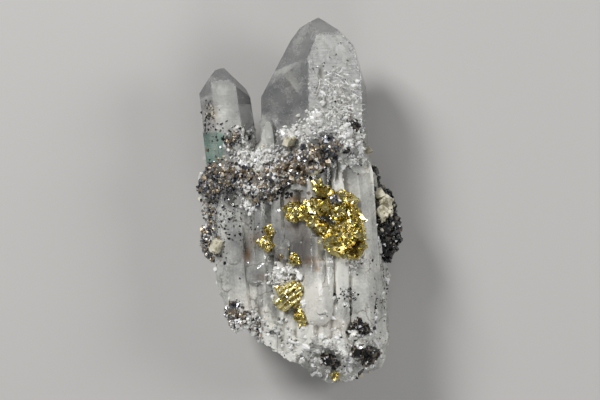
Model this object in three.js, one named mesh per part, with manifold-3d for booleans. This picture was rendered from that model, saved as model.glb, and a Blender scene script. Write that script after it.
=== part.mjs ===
// Chalcopyrite on quartz, a hand-sized mineral specimen that lies on its back.
//
// Two tall quartz crystals rise from a mass of smaller ones grown side by side. A belt of galena
// crystals crosses them, golden chalcopyrite sits in hollows of the face, black sphalerite clings
// to the right flank, and pale dolomite rhombs sit on both. The lower end is broken off.
//
// Units are millimetres. +Y runs along the crystals towards their tips, +X is the right side seen
// from the face, +Z points out of the face, and Z = 0 is the flat contact face the specimen lies on.
// Every crystal is a convex solid enclosed by flat faces, as real ones are. Crystals of one kind
// that grew together are joined, and what the quartz carries is cut back from it by a fit gap.

import * as THREE from "three";
import { ConvexGeometry } from "three/addons/geometries/ConvexGeometry.js";
import { mergeVertices } from "three/addons/utils/BufferGeometryUtils.js";
import Module from "manifold-3d";

const wasm = await Module();
wasm.setup();

// Driving dimensions
const LENGTH = 91; // from the broken lower end to the tall crystal's tip
const FIT_GAP = 0.3; // clearance between the quartz and each mineral that sits on it
const TIP_Y = LENGTH / 2;
const BEYOND = 80; // farther out than any part of the specimen
const PYRAMID_STEEPNESS = 1.27; // quartz's pyramid faces lean 51.8 degrees from level

const { degToRad } = THREE.MathUtils;
const UP = new THREE.Vector3(0, 1, 0);

// Flat-faced solids

// One flat face: the side it looks to, and how far it lies from the crystal's origin.
const face = (x, y, z, distance) => {
  const length = Math.hypot(x, y, z);
  return { normal: new THREE.Vector3(x, y, z).divideScalar(length), distance: distance / length };
};

// The corners of the solid that flat faces enclose: each point where three faces meet that no
// other face cuts off.
function corners(faces) {
  const PARALLEL = 1e-5;
  const SLACK = 1e-6;
  const SAME = 1e-3;
  const found = [];
  for (let a = 0; a < faces.length; a++)
    for (let b = a + 1; b < faces.length; b++)
      for (let c = b + 1; c < faces.length; c++) {
        const [p, q, r] = [faces[a], faces[b], faces[c]];
        const rows = new THREE.Matrix3().set(...p.normal, ...q.normal, ...r.normal);
        if (Math.abs(rows.determinant()) < PARALLEL) continue;
        const point = new THREE.Vector3(p.distance, q.distance, r.distance);
        point.applyMatrix3(rows.invert());
        const inside = faces.every((f) => f.normal.dot(point) <= f.distance + SLACK);
        if (inside && found.every((other) => other.distanceTo(point) > SAME)) found.push(point);
      }
  return found;
}

// A closed triangle mesh as a solid that can be joined and cut.
function solid(geometry) {
  const bare = new THREE.BufferGeometry();
  bare.setAttribute("position", geometry.getAttribute("position"));
  if (geometry.index) bare.setIndex(geometry.index);
  const merged = mergeVertices(bare, 1e-4);
  return new wasm.Manifold(
    new wasm.Mesh({
      numProp: 3,
      vertProperties: new Float32Array(merged.attributes.position.array),
      triVerts: new Uint32Array(merged.index.array),
    }),
  );
}

// A joined or cut solid as a geometry with flat shading.
function geometryOf(made) {
  const mesh = made.getMesh();
  const geometry = new THREE.BufferGeometry();
  geometry.setAttribute("position", new THREE.BufferAttribute(mesh.vertProperties, 3));
  geometry.setIndex(new THREE.BufferAttribute(mesh.triVerts, 1));
  return geometry;
}

// A crystal: its faces, turned and then moved to its place. `grow` moves every face outwards,
// which gives the crystal with a fit gap round it.
function crystal({ faces, turn = new THREE.Quaternion(), at }, grow = 0) {
  const grown = faces.map(({ normal, distance }) => ({ normal, distance: distance + grow }));
  const points = corners(grown).map((point) => point.applyQuaternion(turn).add(at));
  return solid(new ConvexGeometry(points));
}

const join = (solids) => solids.reduce((all, next) => all.add(next));
const cluster = (crystals, grow = 0) => join(crystals.map((one) => crystal(one, grow)));

// The largest connected piece of a solid; chips that touch nothing are dropped.
function largest(made) {
  const bodies = made.decompose();
  return bodies.reduce((best, body) => (body.volume() > best.volume() ? body : best));
}

// Repeatable random numbers from 0 to 1.
function randomFrom(seed) {
  let state = seed >>> 0;
  return () => {
    state = (state + 0x6d2b79f5) >>> 0;
    let mixed = Math.imul(state ^ (state >>> 15), 1 | state);
    mixed = (mixed + Math.imul(mixed ^ (mixed >>> 7), 61 | mixed)) ^ mixed;
    return ((mixed ^ (mixed >>> 14)) >>> 0) / 4294967296;
  };
}
const between = (random, low, high) => low + (high - low) * random();

// Crystal forms, each with faces at distances that give about the size asked for

const PRISM_AZIMUTHS = [0, 60, 120, 180, 240, 300];

// A quartz crystal from its foot to its tip: six prism faces round the axis and its end faces.
// `apothem` is the prism faces' distance from the axis, and `turn` swings the first of them from
// the viewer towards +X. Each cap is [azimuth, steepness, rise]: the face drops by `steepness` for
// each millimetre from the axis, and crosses the axis `rise` above the tip.
function quartz({ tip, foot, apothem, turn = 0, caps = regularCaps(apothem) }) {
  const TAPER = 0.012; // each prism face leans in towards the tip
  const [top, bottom] = [new THREE.Vector3(...tip), new THREE.Vector3(...foot)];
  const axis = top.clone().sub(bottom);
  const length = axis.length();
  const around = (azimuth, steepness, height) => {
    const angle = degToRad(azimuth + turn);
    return face(steepness * Math.sin(angle), 1, steepness * Math.cos(angle), height);
  };
  const prism = PRISM_AZIMUTHS.map((azimuth) =>
    around(azimuth, 1 / TAPER, apothem / TAPER - length / 2),
  );
  const ends = caps.map((cap) => around(...cap));
  return {
    faces: [...prism, ...ends, face(0, -1, 0, length)],
    turn: new THREE.Quaternion().setFromUnitVectors(UP, axis.normalize()),
    at: top,
  };
}

// The usual six pyramid faces, three large ones and three small ones between them.
function regularCaps(apothem) {
  return PRISM_AZIMUTHS.map((azimuth, i) => [azimuth, PYRAMID_STEEPNESS, i % 2 ? 0 : 0.35 * apothem]);
}

const CUBE = [[1, 0, 0], [-1, 0, 0], [0, 1, 0], [0, -1, 0], [0, 0, 1], [0, 0, -1]];
const TETRAHEDRON = [[1, 1, 1], [1, -1, -1], [-1, 1, -1], [-1, -1, 1]];
const COUNTER_TETRAHEDRON = TETRAHEDRON.map((n) => n.map((value) => -value));
const RHOMB = [0, 120, 240].flatMap((azimuth) => {
  const [x, z] = [Math.sin(degToRad(azimuth)), Math.cos(degToRad(azimuth))];
  return [[x, 1, z], [-x, -1, -z]];
});
const facesOf = (normals, size) =>
  normals.map((normal) => ({ normal: face(...normal, 1).normal, distance: size }));

const FORMS = {
  galena: (size) => [...facesOf(CUBE, 0.78 * size), ...facesOf(TETRAHEDRON, 0.9 * size)],
  sphalerite: (size) => [
    ...facesOf(TETRAHEDRON, 0.66 * size),
    ...facesOf(COUNTER_TETRAHEDRON, 0.95 * size),
  ],
  chalcopyrite: (size) => [
    ...facesOf(TETRAHEDRON, 0.75 * size),
    ...facesOf(COUNTER_TETRAHEDRON, 0.88 * size),
    ...facesOf(CUBE.slice(2, 4), 0.92 * size),
  ],
  dolomite: (size) => facesOf(RHOMB, 0.8 * size),
};

// The quartz mass

const TALL = quartz({
  tip: [3.2, TIP_Y, 12],
  foot: [5, -52, 12],
  apothem: 12.9,
  turn: 24,
  caps: [
    [355, 0.65, 3.9], // small top face above the broad front face
    [285, 2.3, 13.6], // large clear face on the left
    [246, 1.83, 4.6],
    [246, 1.32, 1.7],
    [246, 0.56, -0.8], // left side of the blunt tip
    [66, 0.69, 0.9], // right side of the blunt tip
    [60, 1.1, 4.4], // right shoulder
    [62, 4, 34], // narrow steep face below it
    [180, 1.3, -8], // long back face
    [120, 1.5, 1],
  ],
});

const SMALLER = quartz({
  tip: [-19.7, 32.7, 15],
  foot: [-13.8, -12, 14],
  apothem: 5.6,
  caps: [
    [0, 0.9, 2.1],
    [269, 1.11, 1.55],
    [265, 0.26, 0.2],
    [91, 1.25, 1.1],
    [75, 1.9, 3.6],
    [90, 7, 36],
    [180, 1.3, -2.6],
  ],
});

// The crystals grown side by side that make the lower body, from left to right.
const BODY = [
  { tip: [-21.4, 4, 10.5], foot: [-17.4, -36, 10], apothem: 3.9, turn: -18 },
  { tip: [-18.6, 13, 13], foot: [-12.4, -42, 12.5], apothem: 7, turn: 12 },
  { tip: [-13.4, 5, 14.8], foot: [-9, -42, 13.6], apothem: 5.6, turn: -4 },
  { tip: [-9.8, 15, 15.5], foot: [-6, -44, 14], apothem: 6.4, turn: 22 },
  { tip: [-2.8, -6, 19], foot: [-1, -46, 16], apothem: 4.8, turn: 4 },
  { tip: [6, -4, 20.8], foot: [8.5, -50, 16], apothem: 5.8, turn: 30 },
  { tip: [12.2, 13, 19.6], foot: [16, -50, 16.5], apothem: 5.2, turn: -8 },
  { tip: [13.2, 14, 10], foot: [19.6, -44, 10], apothem: 4.3, turn: 26 },
  { tip: [17.4, -12, 13.5], foot: [20, -44, 12.5], apothem: 3.4, turn: 8 },
  { tip: [-11.5, 9, 7.6], foot: [-6.5, -44, 7.2], apothem: 8 }, // behind, down to the contact face
].map(quartz);

// Narrow columns and ledges that stand proud of the lower body's face.
const COLUMNS = [
  { tip: [-8.7, 21, 21.5], foot: [-6.6, 8, 18], apothem: 1.7, turn: 10 },
  { tip: [4.2, -32, 22.8], foot: [3.9, -9, 23.2], apothem: 3.6, turn: 12 },
  { tip: [-16.9, 7, 17.6], foot: [-14, -28, 18.2], apothem: 2.3, turn: -6 },
  { tip: [-11.8, 5, 19.2], foot: [-10.2, -33, 18], apothem: 2, turn: 20 },
  { tip: [-5.5, 8, 21.2], foot: [-4.2, -26, 20.2], apothem: 1.9, turn: 34 },
  { tip: [-0.7, 8, 22.4], foot: [0, -14, 22.6], apothem: 1.4, turn: -12 },
  { tip: [9.4, -9, 24.2], foot: [11.2, -44, 19.6], apothem: 2.2, turn: 16 },
  { tip: [8.8, 13, 24], foot: [9.4, -4, 23.8], apothem: 1.5, turn: 10 },
  { tip: [16.2, 8, 17.5], foot: [19, -38, 15.5], apothem: 2.3, turn: -10 },
  { tip: [23.2, -18.4, 12.5], foot: [18, -20, 12], apothem: 1.6, turn: 20 },
  { tip: [-20.8, 17.4, 14.2], foot: [-18.4, -2, 14], apothem: 3.6, turn: -30, caps: [[0, 0.1, 0.3]] },
].map(quartz);

// Broken faces that end the mass, each by a point on it and the way it looks.
const BREAKS = [
  { at: [-20.3, -15, 12], looks: [-0.97, -0.2, -0.2] },
  { at: [-18, -28.8, 15], looks: [-0.68, -0.7, 0.24] },
  { at: [-11.2, -34.4, 16], looks: [-0.5, -0.86, -0.1] },
  { at: [8.4, -45.4, 14], looks: [-0.5, -0.85, -0.2] },
  { at: [13.1, -44, 14], looks: [0.32, -0.94, 0.1] },
  { at: [20.6, -39, 12], looks: [0.86, -0.5, 0.2] },
  { at: [23.3, -30, 12], looks: [1, -0.04, -0.15] },
  { at: [12, -41, 22], looks: [0.05, -0.6, 0.8] },
  { at: [0, 0, 0], looks: [0, 0, -1] },
].map(({ at, looks }) => {
  const { normal } = face(...looks, 1);
  return { normal, distance: normal.dot(new THREE.Vector3(...at)) };
});

// Everything inside the broken faces, as one large block.
function withinBreaks(grow = 0) {
  const rest = [[1, 0, 0], [-1, 0, 0], [0, 1, 0], [0, 0, 1]].map((looks) => face(...looks, BEYOND));
  return crystal({ faces: [...BREAKS, ...rest], at: new THREE.Vector3() }, grow);
}

const LARGE_CRYSTALS = [TALL, SMALLER, ...BODY, ...COLUMNS];
const bareMass = cluster(LARGE_CRYSTALS).intersect(withinBreaks());

// Where the front or the right flank of the mass lies

const bareMesh = new THREE.Mesh(geometryOf(bareMass));
const probe = new THREE.Raycaster();
function surfaceSeen(from, towards) {
  probe.set(new THREE.Vector3(...from), new THREE.Vector3(...towards));
  return probe.intersectObject(bareMesh)[0]?.point;
}
const onFront = (x, y) => surfaceSeen([x, y, BEYOND], [0, 0, -1]);
const onRight = (y, z) => surfaceSeen([BEYOND, y, z], [-1, 0, 0]);
const onLeft = (y, z) => surfaceSeen([-BEYOND, y, z], [1, 0, 0]);

// Small quartz points strewn over a round patch of the face: [x, y, patch radius, count, size].
const DRUSE = [
  [6.2, 19.5, 4, 4, 1.4],
  [11.5, 20, 4, 4, 1.3],
  [13.5, 13.5, 4, 3, 1.2],
  [6.5, 15.2, 3, 3, 1.4],
  [-3, 14, 4.5, 4, 1.3],
  [-15.5, 15, 4.5, 4, 1.2],
  [-11.5, 10, 3, 3, 1.3],
  [-3.5, -17.5, 2, 2, 1.3],
  [-4, -34, 4.5, 2, 1.2],
  [4, -38.5, 4.5, 3, 1.2],
  [14, -35, 5, 2, 1.2],
];
const POINT_CAPS = [0, 120, 240].map((azimuth) => [azimuth, PYRAMID_STEEPNESS, 0]);
function druse() {
  const random = randomFrom(11);
  const points = DRUSE.flatMap(([x, y, patch, count, size]) =>
    Array.from({ length: count }, () => {
      const angle = between(random, 0, 2 * Math.PI);
      const reach = patch * Math.sqrt(random());
      const seat = onFront(x + reach * Math.cos(angle), y + reach * Math.sin(angle));
      if (!seat) return null;
      const leanX = between(random, -1.1, 1.1);
      const leanY = between(random, -0.7, 1.5);
      const direction = new THREE.Vector3(leanX, leanY, 1).normalize();
      const apothem = size * between(random, 0.6, 1.05);
      const tip = seat.clone().addScaledVector(direction, 1.4 * apothem);
      const foot = seat.clone().addScaledVector(direction, -1.6 * apothem);
      return quartz({ tip, foot, apothem, turn: 60 * random(), caps: POINT_CAPS });
    }),
  );
  return points.filter(Boolean);
}
const DRUSE_POINTS = druse();
const mass = bareMass.add(cluster(DRUSE_POINTS));

// The quartz with a fit gap all round, which everything that sits on it is cut back from.
const massAndGap = cluster(LARGE_CRYSTALS, FIT_GAP)
  .intersect(withinBreaks(FIT_GAP))
  .add(cluster(DRUSE_POINTS, FIT_GAP));

// The minerals the quartz carries

const LOOKS = {
  front: new THREE.Vector3(0, 0, 1),
  right: new THREE.Vector3(1, 0, 0),
  left: new THREE.Vector3(-1, 0, 0),
};

// A crystal of a mineral's form on its seat, turned at random and lifted by a share of its size.
function seated(mineral, random, { size, seat, side, lift }) {
  const axis = new THREE.Vector3(random() - 0.5, random() - 0.5, random() - 0.5).normalize();
  const turn = new THREE.Quaternion().setFromAxisAngle(axis, 2 * Math.PI * random());
  return { faces: FORMS[mineral](size), turn, at: seat.clone().addScaledVector(LOOKS[side], lift * size) };
}

// Crystals on the front, each as [x, y, size, lift].
function onFace(name, mineral, seed, spots) {
  const random = randomFrom(seed);
  const crystals = spots.map(([x, y, size, lift]) =>
    seated(mineral, random, { size, seat: onFront(x, y), side: "front", lift }),
  );
  return { name, mineral, crystals };
}

// Crystals on a flank, each as [y, z, size, lift].
function onFlank(name, mineral, seed, side, spots) {
  const random = randomFrom(seed);
  const find = side === "right" ? onRight : onLeft;
  const crystals = spots.map(([y, z, size, lift]) =>
    seated(mineral, random, { size, seat: find(y, z), side, lift }),
  );
  return { name, mineral, crystals };
}

// Crystals strewn along a route over the front, `width` to either side of it.
function strewn(name, mineral, seed, { route, width, count, sizes, lift }) {
  const random = randomFrom(seed);
  const line = new THREE.CatmullRomCurve3(route.map(([x, y]) => new THREE.Vector3(x, y, 0)));
  const crystals = Array.from({ length: count }, (_, i) => {
    const spot = line.getPoint((i + random()) / count);
    const along = line.getTangent((i + 0.5) / count);
    const across = between(random, -width, width);
    const seat = onFront(spot.x - along.y * across, spot.y + along.x * across);
    const size = between(random, ...sizes) * (1.15 - 0.4 * Math.abs(across / width));
    return seat && seated(mineral, random, { size, seat, side: "front", lift });
  });
  return { name, mineral, crystals: crystals.filter(Boolean) };
}

// Every piece in the order in which they make room for each other: an earlier one keeps its whole
// shape, and the later ones are cut back from it.
const CARRIED = [
  onFlank("dolomite_upper_right", "dolomite", 3, "right", [[12.6, 13, 1.1, 0.2]]),
  onFlank("dolomite_right_top", "dolomite", 4, "right", [[1.7, 17, 1.4, 0.7]]),
  onFlank("dolomite_right_middle", "dolomite", 5, "right", [[-0.4, 17.6, 1.3, 1.6]]),
  onFlank("dolomite_right_low", "dolomite", 7, "right", [[-3.3, 18, 1.7, 1]]),
  onFace("dolomite_left", "dolomite", 9, [[-20.4, -11.2, 1.7, 0.5]]),
  onFlank("dolomite_left_edge", "dolomite", 12, "left", [[-9, 12, 1.4, 0.3]]),
  onFace("dolomite_belt", "dolomite", 14, [[-11.8, 1.2, 1.7, 0.7]]),
  onFace("dolomite_belt_upper", "dolomite", 15, [[-2.6, 14.6, 1.3, 0.9]]),
  onFace("dolomite_below_belt", "dolomite", 17, [[3.4, 7.4, 1.2, 0.6]]),
  onFace("chalcopyrite_large", "chalcopyrite", 21, [
    [5.5, 2.4, 1.9, 0.5],
    [4.3, 4, 1.5, 0.4],
    [7.2, 1.2, 1.8, 0.4],
    [-0.8, -2.8, 2.4, 0.3],
    [-2.2, -2, 1.6, 0.3],
    [1.2, -3.4, 2, 0.3],
    [3, -1.7, 2.1, 0.4],
    [3.2, -4.9, 1.8, 0.4],
    [5, -6.8, 1.9, 0.5],
    [7, -8.5, 2.2, 0.5],
    [9.5, -10.2, 3.5, 0.45],
    [12.5, -11, 3.4, 0.3],
    [13.8, -8.2, 2.8, 0.35],
    [11.2, -7, 2.6, 0.5],
    [13, -3, 2, 0.4],
    [11.8, -0.2, 2, 0.4],
    [13.8, -5.3, 2.2, 0.4],
    [10.2, 1.3, 1.6, 0.4],
    [7.6, -1, 2.1, 0.4],
    [5.6, -1.4, 2.1, 0.5],
    [9.4, -2.8, 2, 0.4],
    [10.4, -4.8, 2, 0.3],
  ]),
  onFace("chalcopyrite_lower", "chalcopyrite", 23, [
    [-2.4, -23.6, 3.3, 0.3],
    [-3.5, -25.2, 2.2, 0.3],
    [-0.8, -22.2, 1.9, 0.4],
  ]),
  onFace("chalcopyrite_bud", "chalcopyrite", 24, [[0.5, -29, 1.7, 0.3], [0.1, -27.7, 1.2, 0.2]]),
  onFace("chalcopyrite_left", "chalcopyrite", 26, [
    [-7.5, -7.6, 1.4, 0.3],
    [-8, -9.6, 1.3, 0.3],
    [-8.3, -10.8, 1.7, 0.3],
    [-9.7, -10.6, 0.9, 0.2],
  ]),
  onFace("chalcopyrite_small", "chalcopyrite", 27, [[-1.3, -14.7, 1.4, 0.3]]),
  onFace("chalcopyrite_foot", "chalcopyrite", 28, [[8.7, -43.2, 1.1, 0.2]]),
  onFace("galena_in_chalcopyrite", "galena", 31, [[8.6, 0, 1.5, 0.5], [9.2, -1.3, 1.3, 0.4]]),
  strewn("galena_belt_right", "galena", 33, {
    route: [[-11, 0], [-7.5, 4], [-2.5, 7.5], [2.5, 9.8], [8, 12.6]],
    width: 1.8,
    count: 18,
    sizes: [1.7, 2.7],
    lift: 0.4,
  }),
  strewn("galena_belt_left", "galena", 34, {
    route: [[-23.2, 1.6], [-20.3, 5.6], [-16.5, 6.2], [-12.6, 4.2]],
    width: 1.9,
    count: 13,
    sizes: [1.4, 2.3],
    lift: 0.35,
  }),
  onFlank("galena_left_edge", "galena", 36, "left", [
    [-7.4, 14, 1.5, 0.3],
    [-9.2, 15, 1.9, 0.3],
    [-10.8, 14, 2.2, 0.3],
    [-12.6, 14.6, 2, 0.3],
    [-13.6, 12, 1.7, 0.3],
    [-11.4, 11, 1.7, 0.3],
  ]),
  strewn("galena_foot_left", "galena", 37, {
    route: [[-18, -26.5], [-15.5, -30], [-11.4, -33]],
    width: 1.3,
    count: 9,
    sizes: [1.2, 1.9],
    lift: 0.3,
  }),
  onFace("galena_on_small_crystal", "galena", 38, [
    [-17.2, 14.8, 1.3, 0.25],
    [-16, 15.6, 0.9, 0.25],
    [-16.4, 14, 1, 0.25],
  ]),
  onFlank("sphalerite_right", "sphalerite", 41, "right", [
    [5, 13, 1.9, 0.3],
    [2.6, 13.5, 2.2, 0.3],
    [7.4, 12.4, 1.3, 0.3],
    [0.2, 12.5, 3.2, 0.3],
    [-2.6, 13, 4.2, 0.2],
    [-6, 12, 4.3, 0.16],
    [-9, 13, 4.2, 0.2],
    [-11.8, 13, 3.2, 0.3],
    [-3, 8.6, 3.6, 0.2],
    [-7.5, 8, 3.8, 0.2],
    [-11, 9, 2.8, 0.3],
    [-1.2, 16, 2.6, 0.3],
    [-4.6, 16.4, 2.8, 0.3],
    [-8.2, 16.4, 2.8, 0.3],
  ]),
  onFace("sphalerite_foot_a", "sphalerite", 43, [
    [15, -31.2, 2, 0.25],
    [16, -32, 1.5, 0.25],
    [12.8, -32.6, 1.3, 0.25],
  ]),
  onFace("sphalerite_foot_b", "sphalerite", 44, [[14, -37.7, 1.5, 0.25]]),
  onFace("sphalerite_foot_c", "sphalerite", 45, [
    [17.6, -38, 2, 0.25],
    [18.6, -39.4, 1.5, 0.25],
    [16.4, -39.8, 1.5, 0.25],
  ]),
  onFace("sphalerite_foot_d", "sphalerite", 46, [
    [7.2, -39.4, 1.6, 0.25],
    [8.6, -40.2, 1.4, 0.25],
    [6.4, -38.4, 1.2, 0.25],
  ]),
  onFace("sphalerite_tall", "sphalerite", 47, [[13.2, 18.6, 1.3, 0.25], [14.2, 18.2, 0.9, 0.25]]),
];

// Surface colours, which also tell the minerals apart
const FINISHES = {
  quartz: { color: 0xd9d8dc, roughness: 0.15, metalness: 0, transparent: true, opacity: 0.6 },
  chalcopyrite: { color: 0xc9a02c, roughness: 0.3, metalness: 1 },
  galena: { color: 0x77757c, roughness: 0.35, metalness: 1 },
  sphalerite: { color: 0x2c2824, roughness: 0.25, metalness: 0.4 },
  dolomite: { color: 0xd8d3b8, roughness: 0.5, metalness: 0 },
};
const materials = Object.fromEntries(
  Object.entries(FINISHES).map(([name, finish]) => [name, new THREE.MeshStandardMaterial(finish)]),
);

const specimen = new THREE.Group();
function addPiece(name, mineral, made) {
  const mesh = new THREE.Mesh(geometryOf(made), materials[mineral]);
  mesh.name = name;
  specimen.add(mesh);
}

addPiece("quartz_crystals", "quartz", largest(mass));
let taken = massAndGap;
for (const { name, mineral, crystals } of CARRIED) {
  addPiece(name, mineral, largest(cluster(crystals).subtract(taken)));
  taken = taken.add(cluster(crystals, FIT_GAP));
}

// The origin is at the middle of the specimen's footprint, level with the face it lies on.
const box = new THREE.Box3().setFromObject(specimen);
const middle = box.getCenter(new THREE.Vector3());
specimen.position.set(-middle.x, -middle.y, -box.min.z);

export default specimen;
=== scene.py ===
import math

import bmesh
import bpy
import numpy as np
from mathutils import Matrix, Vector
from mathutils.geometry import delaunay_2d_cdt


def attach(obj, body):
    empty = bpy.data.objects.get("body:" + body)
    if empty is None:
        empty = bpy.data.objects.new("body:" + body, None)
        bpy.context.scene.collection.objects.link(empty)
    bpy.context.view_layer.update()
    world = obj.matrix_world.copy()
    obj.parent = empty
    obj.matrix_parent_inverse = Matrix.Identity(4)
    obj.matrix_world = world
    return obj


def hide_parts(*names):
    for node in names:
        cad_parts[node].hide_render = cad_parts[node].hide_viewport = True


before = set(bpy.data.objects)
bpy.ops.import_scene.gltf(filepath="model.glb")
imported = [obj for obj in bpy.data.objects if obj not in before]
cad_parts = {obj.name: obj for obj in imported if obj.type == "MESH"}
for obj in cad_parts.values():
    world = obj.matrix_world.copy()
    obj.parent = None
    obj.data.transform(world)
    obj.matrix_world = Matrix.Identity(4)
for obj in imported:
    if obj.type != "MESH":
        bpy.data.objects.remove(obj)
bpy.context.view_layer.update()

# The quartz crystals: one grown mass of clear to milky quartz, with flat natural faces on the two tall
# points, slender crystals side by side below them and shell-like broken faces at the foot. It carries
# every other mineral. Its mesh is the CAD solid's own surface, cut fine and moved out and in by formulas.

# Places are in mm on the drawing of the face: X to the right, Y up and Z out of it.
MM = 0.001
MIDDLE = np.array([-0.1678, -0.0625, 0.0])  # where the specimen's own middle lies on the drawing, in mm


def grid_of(node):
    """A CAD node's corners in millimetres on the drawing, and its triangles, with equal corners merged."""
    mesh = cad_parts[node].data
    mesh.calc_loop_triangles()
    points = np.empty(len(mesh.vertices) * 3)
    mesh.vertices.foreach_get("co", points)
    triangles = np.empty(len(mesh.loop_triangles) * 3, dtype=np.int64)
    mesh.loop_triangles.foreach_get("vertices", triangles)
    points = np.round(points.reshape(-1, 3) / MM, 4)
    merged, where = np.unique(points, axis=0, return_inverse=True)
    triangles = where.reshape(-1)[triangles].reshape(-1, 3)
    distinct = (triangles != np.roll(triangles, 1, axis=1)).all(axis=1)
    return merged + MIDDLE, triangles[distinct]


def evenly_cut(points, triangles, width):
    """The same solid with its flat faces cut into even triangles, `width` mm wide or as a function of the
    face's centre gives. Triangles in one plane are first joined. Each edge is parted evenly, staggered
    rows of points are laid inside each face, and a Delaunay triangulation joins them all."""
    solid = bmesh.new()
    corners = [solid.verts.new(point) for point in points.tolist()]
    for triangle in triangles.tolist():
        solid.faces.new([corners[i] for i in triangle])
    solid.normal_update()
    bmesh.ops.dissolve_limit(solid, angle_limit=math.radians(0.3), verts=solid.verts, edges=solid.edges)
    solid.verts.index_update()
    widths = {face: width(face.calc_center_median()) if callable(width) else width for face in solid.faces}
    laid, count, along = [np.array([vert.co for vert in solid.verts])], len(solid.verts), {}
    for edge in solid.edges:
        a, b = edge.verts
        parts = math.ceil(edge.calc_length() / min(widths[face] for face in edge.link_faces))
        share = np.arange(1, parts)[:, None] / parts
        laid.append((1 - share) * np.array(a.co) + share * np.array(b.co))
        along[edge] = [a.index, *range(count, count + parts - 1), b.index]
        count += parts - 1
    on_edges = np.concatenate(laid)
    joined = []
    for face in solid.faces:
        runs = [(along[loop.edge], loop.vert.index) for loop in face.loops]
        outline = np.concatenate([run[:-1] if run[0] == start else run[:0:-1] for run, start in runs])
        across = np.array(face.calc_tangent_edge())
        plane = np.stack([across, np.cross(face.normal, across)], axis=1)
        flat = (on_edges[outline] - on_edges[outline[0]]) @ plane
        inside = rows_inside(flat, widths[face], np.random.default_rng(len(outline)))
        vectors = [Vector(point) for point in np.concatenate([flat, inside]).tolist()]
        whole = [list(range(len(flat)))]
        _, _, cut, origins, _, faces = delaunay_2d_cdt(vectors, [], whole, 1, 1e-7, True)
        within = np.array([bool(face_origins) for face_origins in faces])
        origin = np.array([min(vertex_origins) for vertex_origins in origins])
        index = np.concatenate([outline, count + np.arange(len(inside))])
        joined.append(index[origin[np.array(cut)[within]]])
        laid.append(on_edges[outline[0]] + inside @ plane.T)
        count += len(inside)
    solid.free()
    return np.concatenate(laid), np.concatenate(joined)


def rows_inside(outline, width, chance):
    """Staggered rows of points, a little disordered, inside a flat outline and clear of it: a point is
    inside where a line to its right crosses the outline an odd number of times."""
    (left, low), (right, high) = outline.min(axis=0), outline.max(axis=0)
    x, y = np.meshgrid(np.arange(left, right, width), np.arange(low, high, width * math.sqrt(3) / 2))
    x = x + width / 2 * (np.arange(len(x)) % 2)[:, None]
    points = np.stack([x.ravel(), y.ravel()], axis=1)
    points += 0.25 * width * (chance.random(points.shape) - 0.5)
    x, y = points.T[:, :, None]
    x1, y1 = outline.T[:, None, :]
    x2, y2 = np.roll(outline, -1, axis=0).T[:, None, :]
    height = np.where(y1 == y2, 1, y2 - y1)
    crossed = ((y1 > y) != (y2 > y)) & (x < (x2 - x1) * (y - y1) / height + x1)
    clear = ((x - x1) ** 2 + (y - y1) ** 2).min(axis=1) > (0.55 * width) ** 2
    return points[(crossed.sum(axis=1) % 2 == 1) & clear]


def facing(points, triangles):
    """Each triangle's outward direction and area, and each corner's direction as their mean by area."""
    a, b, c = points[triangles].transpose(1, 0, 2)
    cross = np.cross(b - a, c - a)
    area = np.linalg.norm(cross, axis=1) / 2
    mean = np.zeros_like(points)
    for corner in triangles.T:
        np.add.at(mean, corner, cross)
    length = np.linalg.norm(mean, axis=1, keepdims=True)
    return cross / (2 * area[:, None] + 1e-12), area, mean / (length + 1e-12)


def hollows(points, triangles, out, rounds):
    """How deep each corner lies, in mm, below the same surface smoothed `rounds` times, each time with
    every corner moved to the mean of its neighbours: above 0 in hollows, below 0 on ridges."""
    pairs = np.unique(np.sort(triangles[:, [[0, 1], [1, 2], [2, 0]]].reshape(-1, 2), axis=1), axis=0)
    here, there = np.concatenate([pairs, pairs[:, ::-1]]).T
    neighbours = np.bincount(here, minlength=len(points))
    soft = points
    for _ in range(rounds):
        sums = [np.bincount(here, soft[there, axis], minlength=len(points)) for axis in range(3)]
        soft = (np.array(sums) / neighbours).T
    return ((soft - points) * out).sum(axis=1)


def drawn(cells, seed):
    """A repeatable random number from 0 to 1 for each cell of a lattice, given by its whole numbers."""
    x, y, z = cells.T
    mixed = (x * 73856093 ^ y * 19349663 ^ z * 83492791 ^ seed * 40503) & 0xFFFFFFFF
    mixed = ((mixed ^ (mixed >> 15)) * 2246822519) & 0xFFFFFFFF
    mixed = ((mixed ^ (mixed >> 13)) * 3266489917) & 0xFFFFFFFF
    return ((mixed ^ (mixed >> 16)) & 0xFFFF) / 65535


def noise(points, spacing, seed):
    """Smooth noise from -1 to 1: random numbers on a lattice `spacing` mm apart, blended between its
    corners by the curve 3t^2 - 2t^3 along each axis."""
    at = points / spacing
    base = np.floor(at).astype(np.int64)
    t = at - base
    t = t * t * (3 - 2 * t)
    total = np.zeros(len(points))
    for corner in np.ndindex(2, 2, 2):
        total += (2 * drawn(base + corner, seed) - 1) * np.prod(np.where(corner, t, 1 - t), axis=1)
    return total


def rise(value, low, high):
    """0 below `low`, 1 above `high` and a smooth curve between them."""
    t = np.clip((value - low) / (high - low), 0, 1)
    return t * t * (3 - 2 * t)


def patch(p, x, y, wide, tall):
    """1 at (x, y) on the face, fading over an ellipse."""
    return np.exp(-(((p[:, 0] - x) / wide) ** 2) - ((p[:, 1] - y) / tall) ** 2)


def share_of(p, patches):
    """The sum of several such patches, each given as x, y, half width, half height and how strong."""
    return sum(much * patch(p, x, y, wide, tall) for x, y, wide, tall, much in patches)


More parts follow.
